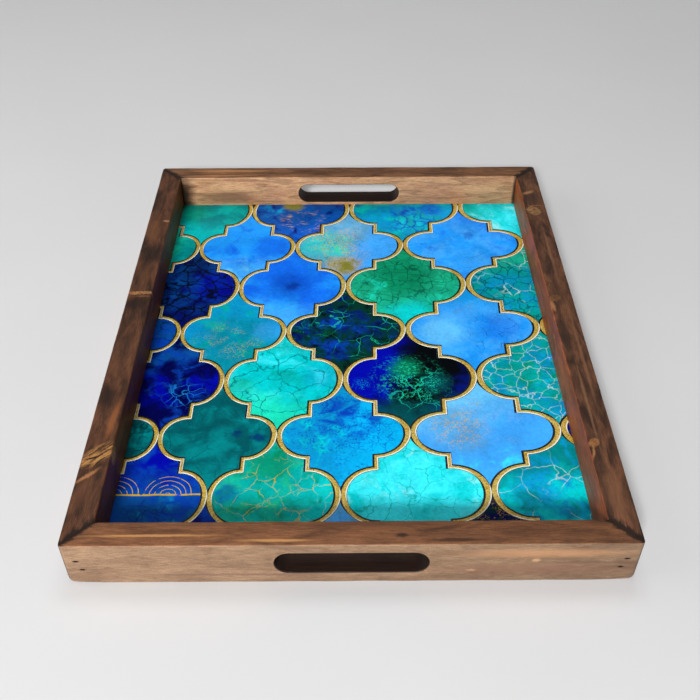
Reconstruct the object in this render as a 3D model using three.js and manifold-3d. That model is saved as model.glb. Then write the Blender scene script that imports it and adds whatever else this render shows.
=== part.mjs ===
// A wooden serving tray: four mitred pine rails round a printed panel, with a slot cut through each end rail
// as a handle. The panel and the base board under it sit in a rabbet along the foot of the rails. Brads hold
// the corner joints, and more brads driven up from below hold the board and the panel.
//
// Millimetres, +Z up. The origin is the middle of the tray at the height of the surface that it stands on.
// X runs across the tray, Y along it, and the handles are in the rails at -Y (front) and +Y (back).

import * as THREE from "three";
import { mergeVertices } from "three/addons/utils/BufferGeometryUtils.js";
import Module from "manifold-3d";

// ---- Driving dimensions -----------------------------------------------------------------------------------

const TRAY = { width: 356, length: 457, height: 36 };
const RAIL_THICKNESS = 19;
const CORNER_RADIUS = 4; // the tray's upright corners, sanded round
const EDGE_EASING = 1; // the rails' long edges, sanded round
const MITRE_GAP = 0.28; // the glue line of a corner joint

const RABBET = { width: 8, height: 6 }; // the step inside each rail's foot that holds the board and panel
const PANEL_THICKNESS = 2.4;
const BOARD_THICKNESS = 2.6;
const SHEET_GAP = 0.25; // over the panel, and between the panel and the board
const SHEET_CLEARANCE = 0.3; // between the edges of the board or panel and the rabbet's wall

const SLOT = { length: 95, height: 18.2, centreZ: 18.4 };

const BRAD = {
  shankWidth: 1.2,
  headWidth: 2.4,
  headLength: 1,
  thickness: 1,
  pointLength: 2,
  pointWidth: 0.3,
};
const CORNER_BRAD = { length: 25, set: 1 }; // set is how far the head is punched below the wood's face
const BOARD_BRAD = { length: 14, set: 0.4 };
const BRAD_HOLE_CLEARANCE = 0.3;

// Where the two brads of a corner enter the end rail, from the tray's outer side and from the floor.
const CORNER_BRADS = {
  upper: { inset: 8.8, z: 21.5 },
  lower: { inset: 11.8, z: 13.6 },
};
const SIDE_BRAD_SPACING = 150; // between the board's brads along each long rail
const END_BRAD_OFFSET = 95; // of the board's brads along each end rail, from its middle and clear of the slot

const COLOURS = { rail: 0x7a5236, board: 0xb08a5e, panel: 0x1592b8, steel: 0x8d9093 };

// ---- Sizes that follow ------------------------------------------------------------------------------------

const halfWidth = TRAY.width / 2;
const halfLength = TRAY.length / 2;
const well = { halfWidth: halfWidth - RAIL_THICKNESS, halfLength: halfLength - RAIL_THICKNESS };
const sheetTuck = RABBET.width - SHEET_CLEARANCE; // how far the board and panel reach under the rails
const panelBottom = RABBET.height - SHEET_GAP - PANEL_THICKNESS;
const boardBottom = panelBottom - SHEET_GAP - BOARD_THICKNESS;
const boardBradInset = RAIL_THICKNESS - RABBET.width / 2; // the rabbet's middle, from the tray's outer side
const PAST = 2; // how far a cutting shape goes past the faces that it cuts through
const WELD_TOLERANCE = 1e-4;

// ---- Solids -----------------------------------------------------------------------------------------------

const wasm = await Module();
wasm.setup();

/** A closed geometry as a solid that can be cut and joined. */
function solidFrom(geometry) {
  const bare = geometry.index ? geometry.toNonIndexed() : geometry.clone();
  bare.deleteAttribute("normal");
  bare.deleteAttribute("uv");
  const merged = mergeVertices(bare, WELD_TOLERANCE);
  return new wasm.Manifold(
    new wasm.Mesh({
      numProp: 3,
      vertProperties: merged.attributes.position.array,
      triVerts: new Uint32Array(merged.index.array),
    }),
  );
}

/** A cut solid as a geometry again. */
function geometryFrom(solid) {
  const mesh = solid.getMesh();
  return new THREE.BufferGeometry()
    .setAttribute("position", new THREE.BufferAttribute(new Float32Array(mesh.vertProperties), mesh.numProp))
    .setIndex(new THREE.BufferAttribute(new Uint32Array(mesh.triVerts), 1));
}

/** A box between two corners. */
function box(low, high) {
  const size = high.map((value, axis) => value - low[axis]);
  const middle = high.map((value, axis) => (value + low[axis]) / 2);
  return new THREE.BoxGeometry(...size).translate(...middle);
}

/** A closed outline of [x, y] corners, extruded along Z. */
function prism(corners, depth) {
  const shape = new THREE.Shape(corners.map(([x, y]) => new THREE.Vector2(x, y)));
  return new THREE.ExtrudeGeometry(shape, { depth, bevelEnabled: false });
}

/** A rectangle about the origin with rounded corners. */
function roundedRectangle(halfX, halfY, radius) {
  const shape = new THREE.Shape();
  shape.moveTo(halfX, -halfY + radius);
  shape.lineTo(halfX, halfY - radius);
  shape.absarc(halfX - radius, halfY - radius, radius, 0, Math.PI / 2, false);
  shape.lineTo(-halfX + radius, halfY);
  shape.absarc(-halfX + radius, halfY - radius, radius, Math.PI / 2, Math.PI, false);
  shape.lineTo(-halfX, -halfY + radius);
  shape.absarc(-halfX + radius, -halfY + radius, radius, Math.PI, 1.5 * Math.PI, false);
  shape.lineTo(halfX - radius, -halfY);
  shape.absarc(halfX - radius, -halfY + radius, radius, 1.5 * Math.PI, 2 * Math.PI, false);
  return shape;
}

/** The whole frame before its joints are cut: a ring with eased edges and the rabbet along its foot. */
function frameRing() {
  const outline = roundedRectangle(halfWidth, halfLength, CORNER_RADIUS);
  const opening = [
    [-well.halfWidth, -well.halfLength],
    [-well.halfWidth, well.halfLength],
    [well.halfWidth, well.halfLength],
    [well.halfWidth, -well.halfLength],
  ];
  outline.holes.push(new THREE.Path(opening.map(([x, y]) => new THREE.Vector2(x, y))));
  const ring = new THREE.ExtrudeGeometry(outline, {
    depth: TRAY.height - 2 * EDGE_EASING,
    bevelThickness: EDGE_EASING,
    bevelSize: EDGE_EASING,
    bevelOffset: -EDGE_EASING,
    bevelSegments: 2,
    curveSegments: 6,
  }).translate(0, 0, EDGE_EASING);
  const rabbetX = well.halfWidth + RABBET.width;
  const rabbetY = well.halfLength + RABBET.width;
  const rabbet = box([-rabbetX, -rabbetY, -PAST], [rabbetX, rabbetY, RABBET.height]);
  return solidFrom(ring).subtract(solidFrom(rabbet));
}

/** The prism that holds one rail between its mitres. A rail runs along X or Y, on side -1 or 1. */
function railSector(alongX, side) {
  const across = alongX ? halfLength : halfWidth;
  const along = alongX ? halfWidth : halfLength;
  const shift = MITRE_GAP / Math.SQRT2; // moves a mitre sideways by half the gap
  const corners = [-PAST, RAIL_THICKNESS + PAST].flatMap((depth, row) => {
    const reach = along - depth - shift;
    const level = side * (across - depth);
    return row ? [[reach, level], [-reach, level]] : [[-reach, level], [reach, level]];
  });
  const turned = alongX ? corners : corners.map(([x, y]) => [y, x]);
  return prism(turned, TRAY.height + 2 * PAST).translate(0, 0, -PAST);
}

/** The stadium that is cut through an end rail, long in X. */
function handleSlot() {
  const radius = SLOT.height / 2;
  const reach = SLOT.length / 2 - radius;
  const shape = new THREE.Shape();
  shape.moveTo(-reach, -radius);
  shape.lineTo(reach, -radius);
  shape.absarc(reach, 0, radius, -Math.PI / 2, Math.PI / 2, false);
  shape.lineTo(-reach, radius);
  shape.absarc(-reach, 0, radius, Math.PI / 2, 1.5 * Math.PI, false);
  const depth = 3 * RAIL_THICKNESS;
  return new THREE.ExtrudeGeometry(shape, { depth, bevelEnabled: false, curveSegments: 10 })
    .translate(0, 0, -depth / 2)
    .rotateX(Math.PI / 2);
}

/** A brad that stands on its head, pointing up +Z, with its wide side along X. */
function brad(length) {
  const { shankWidth, headWidth, headLength, thickness, pointLength, pointWidth } = BRAD;
  const halfOutline = [
    [headWidth / 2, 0],
    [headWidth / 2, headLength],
    [shankWidth / 2, headLength],
    [shankWidth / 2, length - pointLength],
    [pointWidth / 2, length],
  ];
  const outline = [...halfOutline, ...halfOutline.toReversed().map(([x, y]) => [-x, y])];
  return prism(outline, thickness)
    .translate(0, 0, -thickness / 2)
    .rotateX(Math.PI / 2);
}

/** The hole round such a brad, open below its head by the depth that the head is set. */
function bradHole({ length, set }) {
  const halfHead = BRAD.headWidth / 2 + BRAD_HOLE_CLEARANCE;
  const halfShank = BRAD.shankWidth / 2 + BRAD_HOLE_CLEARANCE;
  const halfThickness = BRAD.thickness / 2 + BRAD_HOLE_CLEARANCE;
  const headEnd = BRAD.headLength + BRAD_HOLE_CLEARANCE;
  const head = box([-halfHead, -halfThickness, -set - PAST], [halfHead, halfThickness, headEnd]);
  const shankEnd = length + BRAD_HOLE_CLEARANCE;
  const shank = box([-halfShank, -halfThickness, 0], [halfShank, halfThickness, shankEnd]);
  return solidFrom(head).add(solidFrom(shank));
}

// ---- Where the brads go -----------------------------------------------------------------------------------

/** The eight brads through the end rails into the ends of the side rails. */
function cornerBradPlaces() {
  const places = [];
  for (const [endName, end] of [["front", -1], ["back", 1]])
    for (const [sideName, side] of [["left", -1], ["right", 1]])
      for (const [levelName, { inset, z }] of Object.entries(CORNER_BRADS)) {
        const head = new THREE.Vector3(side * (halfWidth - inset), end * (halfLength - CORNER_BRAD.set), z);
        const turn = new THREE.Matrix4().makeRotationX((end * Math.PI) / 2);
        places.push({
          name: `corner_brad_${endName}_${sideName}_${levelName}`,
          size: CORNER_BRAD,
          matrix: turn.setPosition(head),
        });
      }
  return places;
}

/** The ten brads driven up through the base board and the panel into the rails. */
function boardBradPlaces() {
  const places = [];
  const headZ = boardBottom + BOARD_BRAD.set;
  const add = (name, x, y, turned) => {
    const matrix = new THREE.Matrix4().makeRotationZ(turned ? Math.PI / 2 : 0);
    places.push({ name, size: BOARD_BRAD, matrix: matrix.setPosition(x, y, headZ) });
  };
  const x = halfWidth - boardBradInset;
  const y = halfLength - boardBradInset;
  for (const [sideName, side] of [["left", -1], ["right", 1]])
    [-1, 0, 1].forEach((step, index) =>
      add(`board_brad_${sideName}_${index + 1}`, side * x, step * SIDE_BRAD_SPACING, true),
    );
  for (const [endName, end] of [["front", -1], ["back", 1]])
    [-1, 1].forEach((step, index) =>
      add(`board_brad_${endName}_${index + 1}`, step * END_BRAD_OFFSET, end * y, false),
    );
  return places;
}

// ---- The tray ---------------------------------------------------------------------------------------------

const bradPlaces = [...cornerBradPlaces(), ...boardBradPlaces()];

/** A solid with the holes of every brad that crosses it. */
function withBradHoles(solid) {
  return bradPlaces.reduce(
    (left, { size, matrix }) => left.subtract(bradHole(size).transform(matrix.elements)),
    solid,
  );
}

/** One rail, cut from the whole frame at its mitres. The end rails, which run along X, have the handles. */
function railSolid(ring, alongX, side) {
  const rail = ring.intersect(solidFrom(railSector(alongX, side)));
  if (!alongX) return withBradHoles(rail);
  const slot = handleSlot().translate(0, side * halfLength, SLOT.centreZ);
  return withBradHoles(rail.subtract(solidFrom(slot)));
}

/** The base board or the panel: a plain sheet in the rabbet. */
function sheetSolid(bottom, thickness) {
  const x = well.halfWidth + sheetTuck;
  const y = well.halfLength + sheetTuck;
  return withBradHoles(solidFrom(box([-x, -y, bottom], [x, y, bottom + thickness])));
}

function material(colour, roughness, metalness = 0) {
  return new THREE.MeshStandardMaterial({ color: colour, roughness, metalness });
}

const wood = material(COLOURS.rail, 0.6);
const board = material(COLOURS.board, 0.8);
const print = material(COLOURS.panel, 0.25);
const steel = material(COLOURS.steel, 0.4, 1);

const tray = new THREE.Group();

function place(name, geometry, finish, matrix) {
  const mesh = new THREE.Mesh(geometry, finish);
  mesh.name = name;
  if (matrix) mesh.applyMatrix4(matrix);
  tray.add(mesh);
}

const ring = frameRing();
place("front_rail", geometryFrom(railSolid(ring, true, -1)), wood);
place("back_rail", geometryFrom(railSolid(ring, true, 1)), wood);
place("left_rail", geometryFrom(railSolid(ring, false, -1)), wood);
place("right_rail", geometryFrom(railSolid(ring, false, 1)), wood);
place("printed_panel", geometryFrom(sheetSolid(panelBottom, PANEL_THICKNESS)), print);
place("base_board", geometryFrom(sheetSolid(boardBottom, BOARD_THICKNESS)), board);
for (const { name, size, matrix } of bradPlaces) place(name, brad(size.length), steel, matrix);

export default tray;
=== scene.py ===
"""A stained pine serving tray round a printed panel of lantern-shaped tiles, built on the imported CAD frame.

Shapes are worked out in millimetres in the tray's own frame, and become metres when their meshes are made.
"""

import math

import bmesh
import bpy
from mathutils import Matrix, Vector, noise


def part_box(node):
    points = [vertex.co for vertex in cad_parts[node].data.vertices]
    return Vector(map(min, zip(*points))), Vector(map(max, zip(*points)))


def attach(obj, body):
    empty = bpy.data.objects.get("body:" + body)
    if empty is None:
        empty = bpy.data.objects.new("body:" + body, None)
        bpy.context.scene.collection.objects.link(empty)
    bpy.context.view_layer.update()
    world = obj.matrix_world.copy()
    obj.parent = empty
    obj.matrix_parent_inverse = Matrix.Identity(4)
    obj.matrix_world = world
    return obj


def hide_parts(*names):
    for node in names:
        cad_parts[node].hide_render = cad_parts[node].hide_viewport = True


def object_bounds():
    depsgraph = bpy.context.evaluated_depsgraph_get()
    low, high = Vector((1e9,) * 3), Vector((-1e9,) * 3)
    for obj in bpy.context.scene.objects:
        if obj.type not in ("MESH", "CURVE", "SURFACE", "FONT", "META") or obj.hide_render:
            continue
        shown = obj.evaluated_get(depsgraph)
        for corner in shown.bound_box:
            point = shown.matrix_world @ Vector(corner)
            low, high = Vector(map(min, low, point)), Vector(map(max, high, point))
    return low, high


MM = 0.001

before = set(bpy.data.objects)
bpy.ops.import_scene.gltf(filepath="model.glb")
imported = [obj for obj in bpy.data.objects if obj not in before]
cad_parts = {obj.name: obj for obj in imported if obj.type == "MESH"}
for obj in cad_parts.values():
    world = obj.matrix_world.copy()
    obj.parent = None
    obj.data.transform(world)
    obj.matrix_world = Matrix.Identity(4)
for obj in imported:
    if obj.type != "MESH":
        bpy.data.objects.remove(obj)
cad_low, cad_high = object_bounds()


# ---- Sizes, from the frame ----


def box_mm(node):
    """A CAD node's lowest and highest corners, in millimetres."""
    low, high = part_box(node)
    return low / MM, high / MM


def slot_box():
    """The hand slot's lowest and highest corners: the CAD front rail's points well inside its outline."""
    reach, foot, head = 60, 7, 30
    points = [vertex.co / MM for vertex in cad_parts["front_rail"].data.vertices]
    middle = [p for p in points if abs(p.x) < reach and foot < p.z < head]
    return Vector(map(min, zip(*middle))), Vector(map(max, zip(*middle)))


HALF_WIDTH = cad_high.x / MM
HALF_LENGTH = cad_high.y / MM
TOP = cad_high.z / MM
RAIL = box_mm("left_rail")[1].x - box_mm("left_rail")[0].x
PANEL_LOW, PANEL_HIGH = box_mm("printed_panel")
PANEL_TOP = PANEL_HIGH.z
SHEET_GAP = 0.25  # over the panel
SHEET_CLEARANCE = 0.3  # round the panel
RABBET_CEILING = PANEL_TOP + SHEET_GAP
RABBET_WALL = HALF_WIDTH - PANEL_HIGH.x - SHEET_CLEARANCE  # from a rail's outer face
SLOT_LOW, SLOT_HIGH = slot_box()
SLOT_RADIUS = (SLOT_HIGH.z - SLOT_LOW.z) / 2
SLOT_REACH = SLOT_HIGH.x - SLOT_RADIUS  # to the centres of its round ends
SLOT_HEIGHT = (SLOT_HIGH.z + SLOT_LOW.z) / 2

CORNER = 5.5  # radius of the tray's upright corners at the foot
TOP_CORNER = 2.5  # and at the top
EASING = 1.1  # radius of the rails' sanded edges
MITRE_GAP = 0.2  # what each rail gives up to a corner joint
SLOT_EASING = 1.2
END_STEPS = 16  # round each end of the slot
HOLE_ROOM = 0.15  # round the head of a brad
HOLE_SIDES = 12
PAST = 2  # how far a cutter goes past the faces that it cuts
TILE_THICKNESS = 0.3
PRINT_TUCK = 3  # how far the print reaches under the rails


# ---- Mesh helpers ----


def make_object(name, data):
    obj = bpy.data.objects.new(name, data)
    bpy.context.scene.collection.objects.link(obj)
    return obj


def mesh_object(name, points, faces, values=None):
    """An object from points in millimetres, with its faces turned outwards. values holds a number for each
    point under each attribute's name."""
    mesh = bpy.data.meshes.new(name)
    mesh.from_pydata([Vector(p) * MM for p in points], [], faces)
    for key, numbers in (values or {}).items():
        mesh.attributes.new(key, "FLOAT", "POINT").data.foreach_set("value", numbers)
    bm = bmesh.new()
    bm.from_mesh(mesh)
    bmesh.ops.recalc_face_normals(bm, faces=bm.faces)
    bm.to_mesh(mesh)
    bm.free()
    return make_object(name, mesh)


def quarter_turn(steps):
    """Equally spaced angles from 0 to a right angle."""
    return [step / steps * math.pi / 2 for step in range(steps + 1)]


def loft(rings):
    """The faces that join equal closed rings of points into a closed tube with flat ends."""
    count = len(rings[0])
    faces = []
    for ring in range(len(rings) - 1):
        for i in range(count):
            j = (i + 1) % count
            here, there = ring * count, (ring + 1) * count
            faces.append((here + i, here + j, there + j, there + i))
    last = (len(rings) - 1) * count
    faces.append(tuple(range(count)))
    faces.append(tuple(range(last, last + count)))
    return [point for ring in rings for point in ring], faces


def smooth(obj, angle=35):
    """Smooth shading, with edges sharper than angle kept crisp."""
    for polygon in obj.data.polygons:
        polygon.use_smooth = True
    obj.data.set_sharp_from_angle(angle=math.radians(angle))


def cut(obj, cutters):
    """Subtracts the cutters from the object, and removes them."""
    for cutter in cutters:
        modifier = obj.modifiers.new("cut", "BOOLEAN")
        modifier.operation = "DIFFERENCE"
        modifier.solver = "EXACT"
        modifier.object = cutter
    evaluated = obj.evaluated_get(bpy.context.evaluated_depsgraph_get())
    mesh = bpy.data.meshes.new_from_object(evaluated)
    obj.modifiers.clear()
    obj.data = mesh
    for cutter in cutters:
        bpy.data.objects.remove(cutter)


def clip(obj, half_x, half_y):
    """Cuts off what lies outside a rectangle about the origin, in millimetres, and closes the cuts."""
    bm = bmesh.new()
    bm.from_mesh(obj.data)
    for outward in ((1, 0, 0), (-1, 0, 0), (0, 1, 0), (0, -1, 0)):
        place = Vector((outward[0] * half_x, outward[1] * half_y, 0)) * MM
        geometry = bm.verts[:] + bm.edges[:] + bm.faces[:]
        bmesh.ops.bisect_plane(bm, geom=geometry, plane_co=place, plane_no=outward, clear_outer=True)
        bmesh.ops.holes_fill(bm, edges=[edge for edge in bm.edges if edge.is_boundary])
    bmesh.ops.recalc_face_normals(bm, faces=bm.faces)
    bm.to_mesh(obj.data)
    bm.free()


# ---- Materials' node trees ----


def rgb(red, green, blue):
    """A colour given in display values from 0 to 255, as linear light."""

    def linear(value):
        value /= 255
        return value / 12.92 if value <= 0.04045 else ((value + 0.055) / 1.055) ** 2.4

    return (linear(red), linear(green), linear(blue), 1)


class Paint:
    """A material and its node tree. Each method adds a node and returns its output."""

    def __init__(self, name, roughness=0.5, metallic=0.0, specular=0.5):
        self.material = bpy.data.materials.new(name)
        self.material.use_nodes = True
        self.tree = self.material.node_tree
        self.shader = self.tree.nodes["Principled BSDF"]
        self.shader.inputs["Roughness"].default_value = roughness
        self.shader.inputs["Metallic"].default_value = metallic
        self.shader.inputs["Specular IOR Level"].default_value = specular

    def add(self, kind, inputs, output=0, **settings):
        node = self.tree.nodes.new("ShaderNode" + kind)
        for key, value in settings.items():
            setattr(node, key, value)
        for key, value in inputs.items():
            self.feed(node.inputs[key], value)
        return node.outputs[output]

    def feed(self, socket, value):
        if isinstance(value, bpy.types.NodeSocket):
            self.tree.links.new(value, socket)
        else:
            socket.default_value = value

    def finish(self, colour, roughness=None, height=None, depth=0.1):
        """Connects the colour, and a roughness and a relief whose full height is depth millimetres."""
        self.feed(self.shader.inputs["Base Color"], colour)
        if roughness is not None:
            self.feed(self.shader.inputs["Roughness"], roughness)
        if height is not None:
            bump = self.add("Bump", {"Height": height, "Distance": depth * MM})
            self.feed(self.shader.inputs["Normal"], bump)
        return self.material

    def place(self):
        """The point's place in the tray's frame, in millimetres."""
        metres = self.add("TexCoord", {}, "Object")
        return self.vector("MULTIPLY", metres, (1 / MM,) * 3)

    def split(self, vector):
        node = self.add("SeparateXYZ", {0: vector}).node
        return node.outputs[0], node.outputs[1], node.outputs[2]

    def join(self, x, y, z):
        return self.add("CombineXYZ", {0: x, 1: y, 2: z})

    def math(self, operation, a, b=0.0, c=0.0):
        return self.add("Math", {0: a, 1: b, 2: c}, operation=operation)

    def times(self, a, b):
        return self.math("MULTIPLY", a, b)

    def apart(self, a, b):
        """How far two numbers are from each other."""
        return self.math("ABSOLUTE", self.math("SUBTRACT", a, b))

    def vector(self, operation, a, b):
        return self.add("VectorMath", {0: a, 1: b}, operation=operation)

    def stretch(self, vector, sizes):
        """The vector in units of the three sizes."""
        return self.vector("MULTIPLY", vector, [1 / size for size in sizes])

    def local(self, vector, centre, sizes, turn=0.0):
        """The vector in a turned frame about a centre, in units of the three sizes."""
        inputs = {"Vector": vector, "Location": centre, "Rotation": (0, 0, turn), "Scale": sizes}
        return self.add("Mapping", inputs, vector_type="TEXTURE")

    def length(self, vector):
        return self.add("VectorMath", {0: vector}, "Value", operation="LENGTH")

    def noise(self, vector, size=1.0, detail=3.0, roughness=0.5, distortion=0.0):
        inputs = {"Vector": vector, "Scale": 1 / size, "Detail": detail, "Roughness": roughness}
        return self.add("TexNoise", {**inputs, "Distortion": distortion})

    def cells(self, vector, size, feature="DISTANCE_TO_EDGE", output=0):
        return self.add("TexVoronoi", {"Vector": vector, "Scale": 1 / size}, output, feature=feature)

    def rise(self, value, low, high):
        """0 where the value is at low and 1 where it's at high, with a smooth change between them."""
        inputs = {"Value": value, "From Min": low, "From Max": high}
        return self.add("MapRange", inputs, interpolation_type="SMOOTHSTEP")

    def mix(self, share, a, b, blend="MIX"):
        return self.add("Mix", {0: share, 6: a, 7: b}, 2, data_type="RGBA", blend_type=blend)

    def toned(self, colour, value, amount):
        """The colour made darker or lighter by up to the amount, as the value goes from 0 to 1."""
        scale = self.math("MULTIPLY_ADD", value, 2 * amount, 1 - amount)
        return self.add("VectorMath", {0: colour, "Scale": scale}, operation="SCALE")

    def dimmed(self, colour, value, amount):
        """The colour darkened by up to the amount, as the value goes from 0 to 1."""
        scale = self.math("MULTIPLY_ADD", value, -amount, 1.0)
        return self.add("VectorMath", {0: colour, "Scale": scale}, operation="SCALE")

    def attribute(self, name):
        return self.add("Attribute", {}, "Fac", attribute_name=name)

    def wobble(self, vector, size, amount):
        """The vector moved about by up to about half the amount, over distances of size."""
        moved = self.add("TexNoise", {"Vector": vector, "Scale": 1 / size, "Detail": 2}, "Color")
        centred = self.vector("SUBTRACT", moved, (0.5,) * 3)
        scaled = self.add("VectorMath", {0: centred, "Scale": amount}, operation="SCALE")
        return self.vector("ADD", vector, scaled)


# ---- Rails ----


def rounded(corner, before, after, radius, steps=4):
    """Points round a profile's corner, with how far round they are as wear, the mask for the edges' rubbed
    wear
    and their painted sheen: 0 at the ends, 1 in the middle. before and after are the directions towards the
    corner's two neighbours."""
    points = []
    for angle in quarter_turn(steps):
        near, far = 1 - math.sin(angle), 1 - math.cos(angle)
        depth, height = (corner[i] + radius * (before[i] * near + after[i] * far) for i in (0, 1))
        points.append((depth, height, math.sin(2 * angle)))
    return points


def rail_profile(along, half, seed):
    """A rail's section at a place along it, as (depth from the outer face, height, wear) points. Its sanded
    edges vary along the rail, and the outer bottom edge is rounder towards the tray's corners."""

    def eased(edge):
        return EASING * (1 + 0.5 * noise.noise(Vector((along / 23, seed * 7.3, edge * 5.1))))

    foot = eased(0) + 1.6 * max(0, 1 - (half - abs(along)) / 30) ** 2
    return [
        *rounded((0, 0), (1, 0), (0, 1), foot),
        *rounded((0, TOP), (0, -1), (1, 0), eased(1)),
        *rounded((RAIL, TOP), (-1, 0), (0, -1), eased(2)),
        *rounded((RAIL, RABBET_CEILING), (0, 1), (-1, 0), 0.25, 2),
        (RABBET_WALL, RABBET_CEILING, 0),
        *rounded((RABBET_WALL, 0), (0, 1), (-1, 0), 0.5, 2),
    ]


def along_rail(station, depth, height, half):
    """(along, depth) at a station of a rail whose outer face is 2 half long. Stations run from -1 to 1 over
    the straight part, and on to -2 and 2 round the tray's corners to the mitres."""
    lead = 3  # the stretch before the mitre of the part that isn't rounded
    rounding = TOP_CORNER + (CORNER - TOP_CORNER) * max(0, 1 - height / TOP) ** 1.5
    radius = rounding - depth
    corner = max(abs(station) - 1, 0)
    if radius > 0:
        angle = corner * math.pi / 4
        straight = half - rounding
        extra = radius * math.sin(angle)
        depth = rounding - radius * math.cos(angle)
    else:
        straight = half - depth - lead
        extra = lead * corner
    along = min(abs(station), 1) * straight + extra - MITRE_GAP
    return math.copysign(along, station), depth


def turned(along, depth, side):
    """A rail's point in the tray's frame. Sides 0 to 3 are the front, right, back and left rails."""
    if side == 0:
        return along, depth - HALF_LENGTH
    if side == 1:
        return HALF_WIDTH - depth, along
    if side == 2:
        return -along, HALF_LENGTH - depth
    return depth - HALF_WIDTH, -along


def rail_body(name, side):
    half = HALF_LENGTH if side % 2 else HALF_WIDTH
    spacing, corner_steps = 6, 6
    count = round(2 * half / spacing)
    straight = [2 * i / count - 1 for i in range(count + 1)]
    corner = [1 + (i + 1) / corner_steps for i in range(corner_steps)]
    stations = [-station for station in reversed(corner)] + straight + corner
    rings, wear = [], []
    for station in stations:
        ring = []
        near = min(max(station, -1), 1) * half
        for depth, height, worn in rail_profile(near, half, side):
            x, y = turned(*along_rail(station, depth, height, half), side)
            ring.append((x, y, height))
            wear.append(worn)
        rings.append(ring)
    return mesh_object(name, *loft(rings), {"wear": wear})


def slot_cutter(side):
    """A stadium through an end rail, which widens at both faces to leave the slot's edges rounded."""
    inwards = [(-PAST, SLOT_EASING + PAST)]
    for angle in quarter_turn(6):
        inwards.append((SLOT_EASING * (1 - math.cos(angle)), SLOT_EASING * (1 - math.sin(angle))))
    sections = inwards + [(RAIL - depth, flare) for depth, flare in reversed(inwards)]
    rings = []
    for depth, flare in sections:
        ring = []
        for end in (1, -1):
            for step in range(END_STEPS + 1):
                angle = (step / END_STEPS - 0.5) * math.pi + (0 if end > 0 else math.pi)
                radius = SLOT_RADIUS + flare
                along = end * SLOT_REACH + radius * math.cos(angle)
                x, y = turned(along, depth, side)
                ring.append((x, y, SLOT_HEIGHT + radius * math.sin(angle)))
        rings.append(ring)
    points, faces = loft(rings)
    return mesh_object("slot_cutter", points, faces, {"wear": [0.0] * len(points)})


def brad_holes(prefix, side):
    """Cutters for the holes over the heads of the brads in one end rail, a little wider than the heads."""
    cutters = []
    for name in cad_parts:
        if not name.startswith(prefix):
            continue
        low, high = box_mm(name)
        x, z = (low.x + high.x) / 2, (low.z + high.z) / 2
        half_x, half_z = (high.x - low.x) / 2 + HOLE_ROOM, (high.z - low.z) / 2 + HOLE_ROOM
        face = low.y if side == 0 else high.y
        rings = []
        for y in (face - PAST, face + PAST):
            angles = [step / HOLE_SIDES * 2 * math.pi for step in range(HOLE_SIDES)]
            rings.append([(x + half_x * math.cos(a), y, z + half_z * math.sin(a)) for a in angles])
        points, faces = loft(rings)
        cutters.append(mesh_object("brad_hole", points, faces, {"wear": [0.0] * len(points)}))
    return cutters


def end_rail(name, side):
    rail = rail_body(name, side)
    cut(rail, [slot_cutter(side), *brad_holes("corner_brad_" + name.split("_")[0], side)])
    return rail


# ---- Wood ----


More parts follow.
